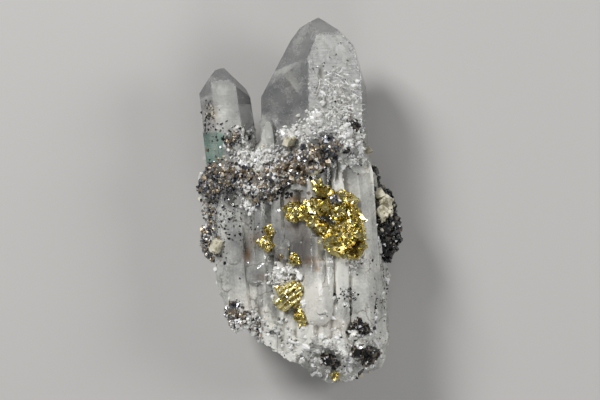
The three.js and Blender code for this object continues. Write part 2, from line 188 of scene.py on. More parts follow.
def grown_side_by_side(points, wide, long, tall, seed):
    """Height of slender crystals that lie along Y, one in each cell of a lattice `wide` by `long` mm: a
    six-sided prism's height is the least of the ways in from its sides, its sloping tip and its foot,
    and no more than its flat top. Where several overlap the highest counts."""
    size = np.array([wide, long, wide])
    home = np.floor(points / size).astype(np.int64)
    height = np.zeros(len(points))
    for step in np.ndindex(3, 3, 3):
        cell = home + step - 1
        x, y, z, width, reach, top = (drawn(cell, seed + k) for k in range(6))
        off = points - (cell + 0.1 + 0.8 * np.stack([x, y, z], axis=1)) * size
        turns = top + np.arange(3)[:, None] * math.pi / 3
        sideways = np.abs(off[:, 0] * np.cos(turns) + off[:, 2] * np.sin(turns)).max(axis=0)
        from_sides = wide * (0.35 + 0.45 * width) - sideways
        from_tip = 0.6 * (long * (0.25 + 0.4 * reach) - off[:, 1])
        from_foot = 2.5 * (long * (0.25 + 0.4 * reach) + off[:, 1])
        inwards = np.minimum(from_sides, np.minimum(from_tip, from_foot))
        height = np.maximum(height, np.clip(inwards, 0, tall * (0.2 + 0.8 * top)))
    return height


def broken_shell(points, spacing, seed):
    """The hollows of a shell-like fracture, 0 at their bottoms and up to 1 on the sharp crests between
    them: the squared distance to the nearest of random centres, one in each cell of a lattice."""
    home = np.floor(points / spacing).astype(np.int64)
    nearest = np.ones(len(points))
    for step in np.ndindex(3, 3, 3):
        cell = home + step - 1
        centre = (cell + np.stack([drawn(cell, seed + k) for k in range(3)], axis=1)) * spacing
        nearest = np.minimum(nearest, ((points - centre) ** 2).sum(axis=1) / spacing**2)
    return nearest


def mesh_piece(name, points, triangles, shade=None, crease=None):
    """A mesh object from corners in millimetres on the drawing and triangles. Its facets are flat, or
    smooth with edges sharper than `crease` degrees kept. `shade` is kept for its material to read."""
    mesh = bpy.data.meshes.new(name)
    mesh.from_pydata(((points - MIDDLE) * MM).tolist(), [], triangles.tolist())
    mesh.polygons.foreach_set("use_smooth", np.full(len(triangles), crease is not None))
    if crease is not None:
        mesh.set_sharp_from_angle(angle=math.radians(crease))
    mesh.update()
    piece = bpy.data.objects.new(name, mesh)
    bpy.context.collection.objects.link(piece)
    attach(piece, "root")
    if shade is not None:
        keep(piece, shade=shade)
    return piece


def keep(piece, **shares):
    """Keeps numbers from 0 to 1, one for each corner of the mesh, for the material to read."""
    for name, values in shares.items():
        layer = piece.data.attributes.new(name, "FLOAT", "POINT")
        layer.data.foreach_set("value", values.astype(np.float32))


def linear(colour):
    """A hex colour as the linear red, green, blue and alpha that a shader takes."""
    parts = [int(colour[i : i + 2], 16) / 255 for i in (1, 3, 5)]
    return [c / 12.92 if c <= 0.04045 else ((c + 0.055) / 1.055) ** 2.4 for c in parts] + [1.0]


def node(material, kind, settings=None, **inputs):
    """Adds a shader node with its settings, and sets or links its inputs; a key is the input's name
    with spaces as underscores, or i0, i1 ... for its place. The setting stops gives a colour ramp's
    (position, hex colour or grey) pairs."""
    made = material.node_tree.nodes.new(kind)
    for key, value in (settings or {}).items():
        if key == "stops":
            ramp = made.color_ramp.elements
            for _ in value[2:]:
                ramp.new(0.5)
            for element, (position, colour) in zip(ramp, value):
                element.position = position
                element.color = linear(colour) if isinstance(colour, str) else (colour,) * 3 + (1,)
        else:
            setattr(made, key, value)
    for key, value in inputs.items():
        at = int(key[1:]) if key[0] == "i" and key[1:].isdigit() else key.replace("_", " ")
        if isinstance(value, bpy.types.NodeSocket):
            material.node_tree.links.new(value, made.inputs[at])
        else:
            made.inputs[at].default_value = value
    return made


def new_material(name):
    """An empty material, and the Object coordinates that its patterns read."""
    material = bpy.data.materials.new(name)
    material.use_nodes = True
    material.node_tree.nodes.clear()
    return material, node(material, "ShaderNodeTexCoord").outputs["Object"]


TURNED = math.radians(24)  # how far the tall crystal's front face is turned to the right
TALL_FRONT = [math.sin(TURNED), 0, math.cos(TURNED)]  # the way that face looks


def share_broken(p, way):
    """1 on the broken faces of the foot and of the lower flanks, 0 on natural faces."""
    foot = rise(-way[:, 1], 0.25, 0.5) * rise(-p[:, 1], 12, 20)
    right = rise(p[:, 0], 21.2, 22.4) * rise(-p[:, 1], 14, 20)
    left = rise(-p[:, 0], 17.5, 19.5) * rise(-p[:, 1], 12, 18)
    return np.clip(foot + right + left, 0, 1)


# Patches of the body that are smooth.
SMOOTH = [
    (0.8, -12.0, 3.6, 5.0, 1.1),
    (-10.6, -4.0, 3.0, 6.5, 0.8),
    (15.0, 2.0, 3.4, 13.0, 1.1),
    (17.0, -26.0, 5.0, 13.0, 1.1),
    (-16.0, -23.0, 6.0, 9.0, 1.1),
    (-13.0, -12.0, 5.0, 7.0, 0.6),
]


def share_side_by_side(p):
    """1 where slender crystals stand side by side, 0 on the tall points and on the smooth patches."""
    body = 1 - rise(p[:, 1] - 0.2 * p[:, 0], 6, 13)
    return body * np.clip(1 - share_of(p, SMOOTH), 0, 1)


# Broad crystals that stand out of the body: x, y, half width, half length and how far, all in mm.
STANDING_OUT = [
    (4.6, -23.2, 3.6, 7.8, 1.5),
    (-11.2, -17.8, 2.3, 3.4, 1.7),
    (-5.6, -9.6, 0.9, 5.0, 0.7),
    (-3.6, -10.4, 0.8, 4.6, 0.6),
    (-16.4, -8.6, 2.4, 7.4, 0.9),
    (-20.0, -19.0, 2.2, 8.0, 0.8),
    (15.4, -25.0, 3.2, 12.0, 1.3),
    (10.2, -27.0, 1.6, 6.0, 0.7),
    (-11.5, -27.0, 1.8, 5.0, 0.7),
]


def standing_out(p):
    """Height of those crystals, the highest where two overlap. Each has a slightly wavy round back and
    a round lower end, and sinks into the body towards its upper end."""
    height = np.zeros(len(p))
    for x, y, wide, long, tall in STANDING_OUT:
        sideways = p[:, 0] - x + 0.35 * noise(p, 3.0, 62)
        beyond = np.maximum(np.abs(p[:, 1] - y) - (long - wide), 0)
        inwards = 1 - (sideways**2 + beyond**2) / wide**2
        sunk = rise(y + long - p[:, 1], 0, long)
        height = np.maximum(height, tall * sunk * np.sqrt(np.clip(inwards, 0, 1)))
    return height


# Where small quartz has grown on the face and frosted it.
GROWN_OVER = [(6.0, 18.0, 6.0, 4.0, 1.0), (-13.0, 10.5, 5.0, 4.0, 1.0), (-8.4, 14.0, 2.4, 7.0, 1.0)]


def share_frosted(p, way):
    """1 on the front faces of the two tall crystals, and where small quartz has grown on the face."""
    tall = rise(way @ TALL_FRONT, 0.86, 0.97) * rise(p[:, 1], 11, 15)
    smaller = rise(way[:, 2], 0.86, 0.97) * rise(-p[:, 0], 12.5, 14) * rise(p[:, 1], 5, 8)
    grown = share_of(p, GROWN_OVER) * rise(p[:, 2], 12, 16)
    return np.clip(0.9 * tall + 0.9 * smaller + grown, 0, 1)


def column_taper(p, way):
    """Rises to 1 towards the top of the broad column at the right, where it runs out on the tall crystal."""
    along = rise(p[:, 1], -2, 9.2) * (1 - rise(p[:, 1], 9.6, 10.4))
    return along * rise(p[:, 0], 7.5, 9.5) * rise(way[:, 2], 0.2, 0.7)


# Two bands: a point on the crisp line that each starts from, and the way in which it fades.
UPPER_PHANTOM = [-4.3, 33.0], [0.344, -0.939]
LOWER_PHANTOM = [-4.3, 31.5], [0.813, 0.582]


def phantoms(p, way):
    """Older faces of the tall crystal, seen inside its left side as those bands."""
    upper, lower = ((p[:, :2] - start) @ fading for start, fading in (UPPER_PHANTOM, LOWER_PHANTOM))
    bands = 0.2 * rise(upper, 0, 0.25) * (1 - rise(upper, 0.25, 2.0))
    bands += 0.3 * rise(lower, 0, 0.3) * (1 - rise(lower, 0.3, 2.8)) * patch(p, -1.6, 28.5, 2.6, 3.0)
    return bands * rise(-way[:, 0], 0.3, 0.5) * rise(p[:, 1], 20, 24)


GROOVES = [(41.2, 1.0), (40.3, 0.7)]  # the place of each along Y, and how deep
GROOVE_WIDTH = 0.22  # mm


def growth_lines(p, way):
    """Up to 1 along the thin level grooves under the top of the tall crystal's front face."""
    grooves = sum(np.exp(-(((p[:, 1] - y) / GROOVE_WIDTH) ** 2)) * deep for y, deep in GROOVES)
    return grooves * rise(way @ TALL_FRONT, 0.86, 0.97)


# White clouds in the quartz, and clear windows where the last number is below 0.
CLOUDS = [
    (-12.6, 10.8, 3.4, 2.6, 0.4),
    (5.4, 18.4, 4.0, 3.0, 0.5),
    (-1.5, 15.5, 3.2, 2.4, 0.4),
    (-3.6, -18.6, 3.0, 2.4, 0.35),
    (-5.0, -36.0, 8.0, 6.0, 0.3),
    (5.2, -25.0, 4.6, 9.0, 0.35),
    (-16.5, -27.0, 5.0, 6.0, 0.3),
    (10.5, 6.0, 2.5, 7.0, 0.2),
    (17.0, 0.0, 2.2, 22.0, 0.25),
    (14.0, -34.0, 8.0, 6.0, 0.25),
    (12.5, -17.0, 4.5, 6.0, 0.25),
    (3.0, -36.0, 8.0, 5.0, 0.12),
    (10.5, 1.0, 2.0, 6.0, 0.15),
    (0.6, -12.0, 3.8, 5.2, -0.35),
    (-5.4, -9.0, 1.9, 6.0, -0.3),
    (-11.4, -17.4, 2.6, 3.2, -0.2),
    (-15.5, -9.0, 2.5, 3.5, -0.15),
    (5.5, -4.0, 3.5, 3.5, -0.35),
    (7.4, 4.0, 1.8, 4.0, -0.3),
    (-0.6, 2.6, 2.6, 2.0, -0.1),
    (-20.0, 0.0, 3.0, 8.0, -0.15),
    (-21.8, 11.5, 2.5, 5.5, 0.4),
    (-19.0, 21.0, 4.0, 8.0, 0.2),
    (-8.4, 14.0, 2.0, 6.0, 0.3),
    (1.0, 41.0, 3.0, 3.0, 0.1),
    (8.0, 35.0, 4.5, 8.0, 0.12),
    (9.0, 23.0, 5.0, 5.0, 0.25),
]

# Iron stains.
STAINS = [
    (-13.1, -13.4, 1.0, 2.2, 0.9),
    (-10.8, -9.6, 2.2, 1.9, 0.5),
    (-1.3, 0.3, 1.9, 0.9, 0.9),
    (-1.6, -6.6, 2.6, 0.8, 0.4),
    (2.3, -14.9, 3.2, 1.2, 0.6),
    (0.8, -10.5, 3.6, 4.5, 0.3),
    (-5.2, -14.2, 0.9, 1.2, 0.7),
    (4.4, -16.9, 0.7, 0.8, 0.8),
    (12.3, 21.5, 1.1, 1.6, 0.5),
    (13.5, 15.5, 2.0, 1.6, 0.35),
    (-21.8, 21.5, 1.4, 2.4, 0.4),
    (8.5, -31.0, 5.0, 2.0, 0.2),
    (-2.4, 29.0, 1.6, 2.6, 0.12),
    (-9.6, -19.0, 1.6, 1.4, 0.35),
    (3.4, -24.0, 3.2, 5.0, 0.12),
    (-14.0, -27.0, 3.6, 3.6, 0.12),
]

# Slits between the needles on the tall crystal, sunk in and darkened with painted shade.
SLITS = [
    (5.0, 31.2, 0.35, 1.5, 1.0),
    (4.6, 26.8, 0.4, 1.5, 1.0),
    (5.8, 24.2, 0.4, 1.2, 1.0),
    (7.4, 29.2, 0.3, 0.9, 0.7),
    (9.6, 24.6, 0.35, 1.0, 0.7),
]


def quartz_width(centre):
    """How wide, in mm, a face is cut: the front finest, then the sides, and the back coarsest."""
    return 0.4 if centre[2] > 14 else 0.6 if centre[2] > 4 else 1.2


# The crystals side by side and the finer ones on them, in mm, each with a seed for its random numbers,
# and how wide the hollows of the broken faces are.
SLENDER = {"wide": 4.0, "long": 14, "tall": 1.3, "seed": 61}
FINER = {"wide": 1.5, "long": 7, "tall": 0.6, "seed": 71}
SHELL_WIDTH = 10.0

quartz_points, quartz_triangles = evenly_cut(*grid_of("quartz_crystals"), quartz_width)
_, _, quartz_out = facing(quartz_points, quartz_triangles)
broken = share_broken(quartz_points, quartz_out)
frosted = share_frosted(quartz_points, quartz_out)
broad = standing_out(quartz_points) * rise(quartz_out[:, 2], 0.2, 0.6)
slender = share_side_by_side(quartz_points) * (1 - broken) * (1 - 0.75 * rise(broad, 0.1, 0.5))

# How far each corner moves outwards, in mm. The contact face that the specimen rests on stays flat.
relief = (
    slender * (0.8 * grown_side_by_side(quartz_points, **SLENDER) - 0.2)
    + slender * 0.25 * grown_side_by_side(quartz_points, **FINER)
    + broken * (1.9 * broken_shell(quartz_points, SHELL_WIDTH, 81) - 1.1)
    + broken * (0.45 * noise(quartz_points, 3.2, 85) + 0.2 * noise(quartz_points, 1.3, 86))
    + broad
    - 1.3 * column_taper(quartz_points, quartz_out)
    + frosted * (0.07 * noise(quartz_points, 0.8, 3) + 0.03)
    + 0.03 * noise(quartz_points, 3.5, 4)
    - 0.16 * growth_lines(quartz_points, quartz_out)
    - 0.35 * share_of(quartz_points, SLITS) * rise(quartz_out[:, 2], 0.3, 0.7)
)
above_contact = rise(quartz_points[:, 2], 0.02, 0.6)
quartz_points = quartz_points + quartz_out * (relief * above_contact)[:, None]
_, _, quartz_out = facing(quartz_points, quartz_triangles)
sunk_in = hollows(quartz_points, quartz_triangles, quartz_out, 10)
quartz = mesh_piece("quartz_crystals_grown", quartz_points, quartz_triangles, crease=24)
x, y, z = quartz_points.T

# Least milky in the tall points, and more so in frost, clouds, phantoms and on the slender ridges.
milkiness = (
    0.14
    + 0.36 * rise(0.25 * x - y, -17, 0)
    + 0.22 * frosted
    + share_of(quartz_points, CLOUDS)
    + phantoms(quartz_points, quartz_out)
    + 0.22 * slender * rise(-sunk_in, 0.03, 0.2)
)
keep(
    quartz,
    milky=np.clip(milkiness, 0, 1),
    frosted=frosted,
    # painted shade: darker in the hollows between the slender crystals and in the slits between the needles
    hollow=slender * rise(sunk_in, 0.02, 0.2) * rise(z, 1, 3)
    + 1.2 * share_of(quartz_points, SLITS) * rise(quartz_out[:, 2], 0.3, 0.7),
    cracked=1 - rise(y, 8, 14),
    striated=rise(y, 8, 14) * (1 - rise(np.abs(quartz_out[:, 1]), 0.12, 0.3)),
    stained=np.clip(share_of(quartz_points, STAINS), 0, 1) * rise(z, 8, 12),
    teal=rise(-x, 18.6, 19.4) * rise(y, 4.5, 6.5) * (1 - rise(y, 16.4, 17.4)) * rise(z, 7, 9),
)

# Quartz, as grown: glassy on clear natural faces, white where veils and flaws fill it, satin where fine
# frost covers it. Faint fibres run along the crystals, fine growth lines run across the tall ones' sides,
# thin cracks cross the mass, iron has stained a few places brown, and the left edge has a blue-green tint.
# The hollows between the slender crystals and the slits between the needles are darkened with painted shade.
rock, where = new_material("rock crystal, natural and frosted faces")
milky, frost, hollow, cracked, striae, stain, teal = (
    node(rock, "ShaderNodeAttribute", {"attribute_name": name}).outputs["Fac"]
    for name in ("milky", "frosted", "hollow", "cracked", "striated", "stained", "teal")
)
veils = node(rock, "ShaderNodeTexNoise", Vector=where, Scale=210.0, Detail=6.0)  # 5 mm
along = node(rock, "ShaderNodeMapping", Vector=where, Scale=(1500, 120, 1500)).outputs["Vector"]
fibres = node(rock, "ShaderNodeTexNoise", Vector=along, Scale=1.0, Detail=4.0)  # 0.7 by 8 mm
grain = node(rock, "ShaderNodeTexNoise", Vector=where, Scale=1900.0, Detail=3.0)  # 0.5 mm
across = node(rock, "ShaderNodeMapping", Vector=where, Scale=(110, 1700, 110)).outputs["Vector"]
lines = node(rock, "ShaderNodeTexNoise", Vector=across, Scale=1.0, Detail=3.0)  # 9 by 0.6 mm
bent = node(
    rock, "ShaderNodeVectorMath", {"operation": "MULTIPLY_ADD"},
    i0=veils.outputs["Color"], i1=(0.009, 0.009, 0.009), i2=where,
).outputs["Vector"]
cells = node(
    rock, "ShaderNodeTexVoronoi", {"feature": "DISTANCE_TO_EDGE"}, Vector=bent, Scale=150.0
).outputs["Distance"]  # 7 mm
areas = node(rock, "ShaderNodeTexNoise", Vector=where, Scale=140.0, Detail=2.0)  # 7 mm
crack = node(
    rock, "ShaderNodeMath", {"operation": "MULTIPLY"},
    i0=node(rock, "ShaderNodeValToRGB", {"stops": [(0.0, 0.8), (0.045, 0.0)]}, Fac=cells).outputs["Color"],
    i1=node(
        rock, "ShaderNodeValToRGB", {"stops": [(0.5, 0.0), (0.6, 1.0)]}, Fac=areas.outputs["Fac"]
    ).outputs["Color"],
).outputs[0]
crack = node(rock, "ShaderNodeMath", {"operation": "MULTIPLY"}, i0=crack, i1=cracked).outputs[0]
whiter = node(
    rock, "ShaderNodeMath", {"operation": "MULTIPLY_ADD"}, i0=veils.outputs["Fac"], i1=0.7,
    i2=node(rock, "ShaderNodeMath", {"operation": "ADD"}, i0=milky, i1=-0.6).outputs[0],
).outputs[0]
for pattern, much in ((fibres, 0.12), (grain, 0.34)):
    whiter = node(
        rock, "ShaderNodeMath", {"operation": "MULTIPLY_ADD"},
        i0=pattern.outputs["Fac"], i1=much, i2=whiter,
    ).outputs[0]
colour = node(
    rock, "ShaderNodeValToRGB",
    {"stops": [(0.05, "#b4b5b6"), (0.45, "#cfcfca"), (0.8, "#ecebe3")]}, Fac=whiter,
).outputs["Color"]
# the first tint is painted shade in the hollows; the cracks, iron stains and blue-green tint are the
# quartz's own
for share, tint in ((hollow, "#b3afa7"), (crack, "#968f84"), (stain, "#b88a55"), (teal, "#b6d2ca")):
    colour = node(
        rock, "ShaderNodeMix", {"data_type": "RGBA", "blend_type": "MULTIPLY"},
        i0=share, i6=colour, i7=linear(tint),
    ).outputs[2]
clear = node(
    rock, "ShaderNodeValToRGB", {"stops": [(0.1, 0.74), (0.45, 0.5), (0.85, 0.1)]}, Fac=whiter
).outputs["Color"]
gloss = node(
    rock, "ShaderNodeMath", {"operation": "MULTIPLY_ADD"}, i0=frost, i1=0.22,
    i2=node(rock, "ShaderNodeValToRGB", {"stops": [(0.2, 0.03), (0.8, 0.2)]}, Fac=whiter).outputs["Color"],
).outputs[0]
bumps = node(
    rock, "ShaderNodeBump", Strength=0.12, Distance=0.0003, Height=fibres.outputs["Fac"],
    Normal=node(
        rock, "ShaderNodeBump", Strength=0.2, Distance=0.0002, Height=grain.outputs["Fac"],
        Normal=node(
            rock, "ShaderNodeBump", Strength=0.35, Distance=0.0004,
            Height=node(
                rock, "ShaderNodeMath", {"operation": "MULTIPLY"}, i0=lines.outputs["Fac"], i1=striae
            ).outputs[0],
        ).outputs["Normal"],
    ).outputs["Normal"],
).outputs["Normal"]
surface = node(
    rock, "ShaderNodeBsdfPrincipled", Base_Color=colour, Roughness=gloss, Normal=bumps,
    Transmission_Weight=clear, IOR=1.544,
)
inside = node(rock, "ShaderNodeVolumeAbsorption", Color=linear("#d8d6d2"), Density=6.0)
node(rock, "ShaderNodeOutputMaterial", Surface=surface.outputs[0], Volume=inside.outputs[0])
quartz.data.materials.append(rock)
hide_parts("quartz_crystals")


# Small quartz: points a millimetre or so across over the foot of the tall crystals, round the sulphides,
# on the broken end and in groups on the flanks, thin needles on the tall crystal's front face, and healed
# cracks inside it, which show as sheets of tiny flakes. All are white, because they are full of flaws.

# Each form is a profile of six corners carried up the crystal's axis. A row is one ring of it: the height
# and the radius of its even corners, then those of its odd corners, for a crystal of size 1.
QUARTZ_POINT = [(-0.6, 0.5, -0.6, 0.5), (0.35, 0.48, 0.28, 0.48), (0.85, 0.05, 0.85, 0.05)]
FLAKE = [(-0.04, 0.5, -0.04, 0.3), (0.04, 0.5, 0.04, 0.3)]
CUBE_CUT_AT_CORNERS = [(-0.42, 0.28, -0.42, 0.56), (0.0, 0.56, 0.0, 0.56), (0.42, 0.56, 0.42, 0.28)]
CUT_TETRAHEDRON = [(-0.34, 0.62, -0.34, 0.46), (0.06, 0.5, 0.0, 0.26), (0.52, 0.12, 0.52, 0.08)]
RHOMB = [(-0.6, 0.02, -0.6, 0.02), (0.2, 0.6, -0.2, 0.6), (0.6, 0.02, 0.6, 0.02)]


def crystals(form, seats, ways, sizes, stretch, chance):
    """Copies of a form: each is scaled to its size, made longer by its stretch, spun at random round its
    axis, tipped so that the axis points its way, and moved to its seat. Returns corners, triangles and
    one random shade for each crystal, repeated on its corners."""
    rings = np.array(form)
    count, corner = len(seats), np.arange(6)
    even = corner % 2 == 0
    height = np.where(even, rings[:, 0:1], rings[:, 2:3])
    radius = np.where(even, rings[:, 1:2], rings[:, 3:4])
    angle = corner * math.pi / 3
    local = np.stack([radius * np.cos(angle), radius * np.sin(angle), height], axis=-1).reshape(-1, 3)
    axis = ways / np.linalg.norm(ways, axis=1, keepdims=True)
    side = np.cross(axis, chance.normal(size=(count, 3)))
    side /= np.linalg.norm(side, axis=1, keepdims=True)
    basis = np.stack([side, np.cross(axis, side), axis], axis=1)
    longer = np.stack([np.ones(count), np.ones(count), stretch], axis=1)
    points = ((local[None] * sizes[:, None, None] * longer[:, None]) @ basis + seats[:, None]).reshape(-1, 3)
    ring, place = np.meshgrid(np.arange(len(rings) - 1) * 6, corner, indexing="ij")
    a, b = (ring + place).ravel(), (ring + (place + 1) % 6).ravel()
    sides = np.concatenate([np.stack([a, b, b + 6], axis=1), np.stack([a, b + 6, a + 6], axis=1)])
    fan = np.stack([np.zeros(4, int), np.arange(1, 5), np.arange(2, 6)], axis=1)
    one = np.concatenate([sides, fan[:, ::-1], fan + 6 * (len(rings) - 1)])
    triangles = (one[None] + (np.arange(count) * len(local))[:, None, None]).reshape(-1, 3)
    return points, triangles, np.repeat(chance.random(count), len(local))


def seats_on(points, triangles, count, chance, weight):
    """Random seats on a surface and the way it looks there: triangles are drawn by their area times
    weight(middle, way), and the place inside each is even."""
    way, area, _ = facing(points, triangles)
    likely = area * np.clip(weight(points[triangles].mean(axis=1), way), 0, None)
    chosen = chance.choice(len(triangles), count, p=likely / likely.sum())
    u, v = chance.random((2, count, 1))
    over = (u + v) > 1
    u, v = np.where(over, 1 - u, u), np.where(over, 1 - v, v)
    a, b, c = points[triangles[chosen]].transpose(1, 0, 2)
    return a + u * (b - a) + v * (c - a), way[chosen]


SUNK = 0.1  # mm that the middle of such a crystal lies under the face


def strewn(form, patches, count, sizes, stretch, lean, chance):
    """Crystals on the face of the quartz, most where the patches are strong, small ones more often. They
    point out of it, give or take `lean`, and their stretch is even between its two limits."""
    seats, ways = seats_on(
        quartz_points, quartz_triangles, count, chance,
        lambda p, way: share_of(p, patches) * rise(way[:, 2], 0.0, 0.5) * rise(p[:, 2], 9, 13),
    )
    size = sizes[0] + (sizes[1] - sizes[0]) * chance.random(count) ** 2.2
    longer = stretch[0] + (stretch[1] - stretch[0]) * chance.random(count)
    leaning = ways + lean * chance.normal(size=ways.shape)
    return crystals(form, seats - SUNK * ways, leaning, size, longer, chance)


def upwards(p, way):
    """The weight that leaves the undersides bare."""
    return rise(way[:, 2], -0.7, 0.3)


def everywhere(p, way):
    """An even weight for every triangle."""
    return np.ones(len(p))


def overgrown(form, base, count, sizes, chance, weight=upwards):
    """Crystals of a form all over a surface, its corners and triangles first in `base`, turned at random
    and raised by a tenth of their size, with sizes from low to high and small ones more often."""
    seats, ways = seats_on(base[0], base[1], count, chance, weight)
    size = sizes[0] + (sizes[1] - sizes[0]) * chance.random(count) ** 2
    lean = chance.normal(size=seats.shape)
    longer = 0.85 + 0.4 * chance.random(count)
    return crystals(form, seats + ways * (0.1 * size)[:, None], lean, size, longer, chance)


def on_flanks(seed):
    """The weight that groups crystals in a few places on the side faces, below the two tall points."""
    return lambda p, way: (
        rise(noise(p, 6.5, seed), 0.2, 0.5) * rise(-np.abs(way[:, 2]), -0.5, -0.2)
        * rise(p[:, 2], 1.5, 4) * (1 - rise(p[:, 1], 6, 12))
    )


def together(*meshes):
    """Several meshes, each as corners, triangles and shades, as one."""
    starts = np.cumsum([0] + [len(mesh[0]) for mesh in meshes[:-1]])
    return (
        np.concatenate([points for points, _, _ in meshes]),
        np.concatenate([triangles + start for (_, triangles, _), start in zip(meshes, starts)]),
        np.concatenate([shade for _, _, shade in meshes]),
    )


# Where the points, the blocky crystals, the needles and the healed cracks are.
POINTS_GROW = [
    (5.2, 18.6, 3.0, 2.2, 1.8),
    (10.5, 16.2, 3.6, 2.2, 0.9),
    (12.4, 22.0, 2.4, 4.0, 0.3),
    (6.4, 27.6, 2.0, 1.8, 0.3),
    (-1.8, 16.2, 2.4, 1.7, 1.2),
    (-6.0, 10.6, 3.0, 1.8, 0.8),
    (-12.6, 10.6, 2.6, 1.8, 1.5),
    (-15.6, 15.2, 2.6, 2.0, 0.5),
    (-4.0, -18.4, 2.4, 1.8, 1.2),
    (-3.4, -35.0, 4.6, 4.5, 0.1),
    (6.0, -38.5, 6.5, 4.5, 0.12),
    (15.0, -36.0, 5.0, 5.0, 0.08),
    (-15.6, -31.0, 3.6, 3.2, 0.9),
    (14.0, -15.6, 2.2, 1.8, 0.7),
    (-12.6, -1.2, 1.6, 1.4, 0.9),
    (13.0, 9.6, 3.2, 0.8, 0.9),
]
BLOCKS_STAND = [
    (-3.6, -36.0, 5.0, 5.0, 0.15),
    (6.0, -37.5, 6.0, 5.0, 0.15),
    (15.0, -35.0, 5.0, 5.0, 0.1),
    (-3.8, -19.0, 2.6, 1.8, 1.0),
    (5.2, 18.4, 2.6, 1.8, 1.2),
    (-1.8, 16.2, 1.8, 1.2, 0.9),
    (-12.4, 10.6, 2.4, 1.4, 1.2),
    (11.0, 16.6, 2.6, 1.6, 0.6),
]
NEEDLES_GROW = [(8.2, 27.5, 3.0, 3.6, 1.0), (10.8, 23.5, 2.6, 4.0, 1.0), (5.6, 24.0, 1.6, 2.6, 0.5)]
CRACKS = [(-2.6, 29.6, 3.0, 3.4, 1.0), (-0.2, 33.6, 3.4, 0.9, 0.8), (-4.6, 25.0, 3.0, 2.4, 0.3)]

chance = np.random.default_rng(5)
lean_up = strewn(QUARTZ_POINT, POINTS_GROW, 2900, (0.25, 1.05), (0.9, 1.9), 0.55, chance)
blocks = strewn(QUARTZ_POINT, BLOCKS_STAND, 150, (0.6, 1.9), (0.6, 1.2), 0.8, chance)
needles = strewn(QUARTZ_POINT, NEEDLES_GROW, 520, (0.12, 0.28), (5.0, 13.0), 3.0, chance)
quartz_surface = quartz_points, quartz_triangles
beside = overgrown(QUARTZ_POINT, quartz_surface, 460, (0.3, 1.3), chance, on_flanks(91))
druse = mesh_piece("quartz_small_points", *together(lean_up, blocks, needles, beside))
crack_seats, crack_ways = seats_on(
    quartz_points, quartz_triangles, 2600, chance,
    lambda p, way: share_of(p, CRACKS) * rise(-way[:, 0], 0.3, 0.5) * (noise(p, 1.7, 14) > -0.1),
)
crack_depth = 1.6 + 0.35 * (crack_seats @ [0.5, 0.4, 0.0] % 3.0)  # mm under the face, in slanting sheets
flake_seats = crack_seats - crack_depth[:, None] * crack_ways
flake_ways = crack_ways + 0.4 * chance.normal(size=crack_ways.shape)
flake_sizes = 0.12 + 0.3 * chance.random(len(flake_seats))
flakes = mesh_piece(
    "quartz_healed_cracks",
    *crystals(FLAKE, flake_seats, flake_ways, flake_sizes, np.ones(len(flake_seats)), chance),
)
white_quartz, where = new_material("druse quartz, milky")
shade = node(white_quartz, "ShaderNodeAttribute", {"attribute_name": "shade"}).outputs["Fac"]
surface = node(
    white_quartz, "ShaderNodeBsdfPrincipled",
    Base_Color=node(
        white_quartz, "ShaderNodeValToRGB",
        {"stops": [(0.0, "#c9c7c2"), (0.35, "#f0efe9"), (1.0, "#ffffff")]}, Fac=shade,
    ).outputs["Color"],
    Roughness=0.22, Transmission_Weight=0.12, IOR=1.544,
)
node(white_quartz, "ShaderNodeOutputMaterial", Surface=surface.outputs[0])
for piece in (druse, flakes):
    piece.data.materials.append(white_quartz)


# Galena: lead-grey cubes with cut corners, a millimetre or so across, packed in a belt over the foot of
# the two tall crystals, with smaller groups at the left edge and the foot. Some are bright, some dull or
# tarnished brown. Each group is its solid, crumpled into facets, with cubes seated all over it. The
# hollows between the facets are darkened with painted shade.


OVER_GAP = 0.12  # mm outwards, which closes the gap that the solids keep between them


def crumpled(nodes, width, depth, seed):
    """The nodes' solids cut into triangles `width` mm wide, with each corner moved out by noise and by a
    random step, so that flat facets of about that size meet at sharp angles. The shade is low in the
    hollows between facets and high on the ridges. The galena and chalcopyrite materials paint it as shade
    in the hollows, where the chalcopyrite is partly tarnished too, and the chalcopyrite and sphalerite
    materials paint it as highlight on the ridges."""
    shapes = []
    for name in nodes:
        points, triangles = evenly_cut(*grid_of(name), width)
        _, _, out = facing(points, triangles)
        step = np.random.default_rng(seed).random(len(points)) - 0.5
        move = OVER_GAP + depth * (0.6 * noise(points, 2.2 * width, seed) + 0.9 * step)
        points = points + out * move[:, None]
        deep = hollows(points, triangles, facing(points, triangles)[2], 2)
        shapes.append((points, triangles, np.clip(0.5 - deep / (2 * depth), 0, 1)))
    return together(*shapes)


BELT = ["galena_belt_right", "galena_belt_left"]
GROUPS = ["galena_left_edge", "galena_foot_left", "galena_on_small_crystal", "galena_in_chalcopyrite"]
belt_base = crumpled(BELT, 0.7, 0.4, 21)
group_base = crumpled(GROUPS, 0.6, 0.45, 22)
# Where single cubes lie on the quartz.
STRAY_GALENA = [
    (-20.0, 6.5, 4.0, 3.5, 1.0),
    (-7.5, 4.0, 3.5, 3.0, 1.0),
    (1.0, 9.0, 4.0, 2.4, 1.0),
    (-16.4, 15.4, 3.0, 1.8, 0.7),
    (-21.4, -8.0, 1.8, 6.0, 1.0),
    (-23.0, -1.5, 1.8, 4.5, 1.3),
    (-14.0, -32.6, 3.4, 3.2, 2.0),
    (12.0, -23.3, 1.8, 1.0, 0.6),
    (9.6, 14.4, 2.6, 1.2, 0.6),
]
